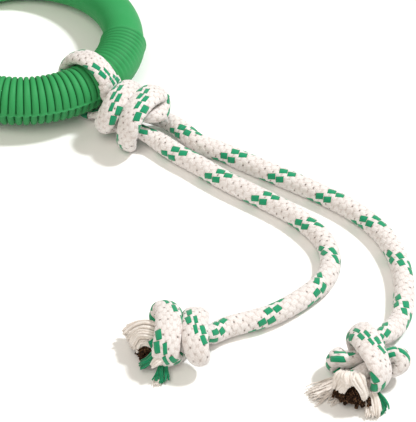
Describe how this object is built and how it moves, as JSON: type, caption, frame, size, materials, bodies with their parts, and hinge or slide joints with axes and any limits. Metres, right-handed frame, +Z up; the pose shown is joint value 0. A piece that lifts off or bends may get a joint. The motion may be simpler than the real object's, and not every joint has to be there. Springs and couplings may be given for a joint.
{
  "type": "rubber ring rope toy",
  "caption": "Ribbed rubber ring with a doubled braided rope knotted on to it, each tail ending in a knot and a frayed end.",
  "frame": {"origin": "on the floor, at the flat underside of the main knot", "axes": "+Z up from the floor that the ring, the tails and the knots lie on; +X to the picture's right, with the tails"},
  "size_m": [0.3312, 0.3596, 0.0443],
  "materials": {
    "green_rubber": "satin moulded rubber",
    "cream_rope": "matte braided sheath",
    "brown_core_yarn": "matte loose yarn",
    "green_tracer_yarn": "matte loose yarn"
  },
  "bodies": {
    "ring": {"rubber_ring": "green_rubber"},
    "rope": {"rope_loop": "cream_rope", "knot_tying_strand": "cream_rope", "knot_core_strand": "cream_rope"},
    "tail_a": {"tail_a": "cream_rope", "end_knot_a": "cream_rope", "fray_sheath_a": "cream_rope", "fray_core_a": "brown_core_yarn", "fray_tracer_a": "green_tracer_yarn"},
    "tail_b": {"tail_b": "cream_rope", "end_knot_b": "cream_rope", "fray_sheath_b": "cream_rope", "fray_core_b": "brown_core_yarn", "fray_tracer_b": "green_tracer_yarn"}
  },
  "joints": [
    {"name": "loop_slide", "type": "hinge", "parent": "ring", "child": "rope", "pos_m": [-0.07446, 0.06226, 0.01705], "axis": [-0.0509, 0.0426, 0.9978], "continuous": true},
    {"name": "tail_a_swing", "type": "hinge", "parent": "rope", "child": "tail_a", "pos_m": [0.03973, -0.00321, 0.00625], "axis": [0, 0, 1], "range_deg": [0, 45]},
    {"name": "tail_b_swing", "type": "hinge", "parent": "rope", "child": "tail_b", "pos_m": [0.02903, -0.01595, 0.00625], "axis": [0, 0, 1], "range_deg": [-45, 0]}
  ]
}
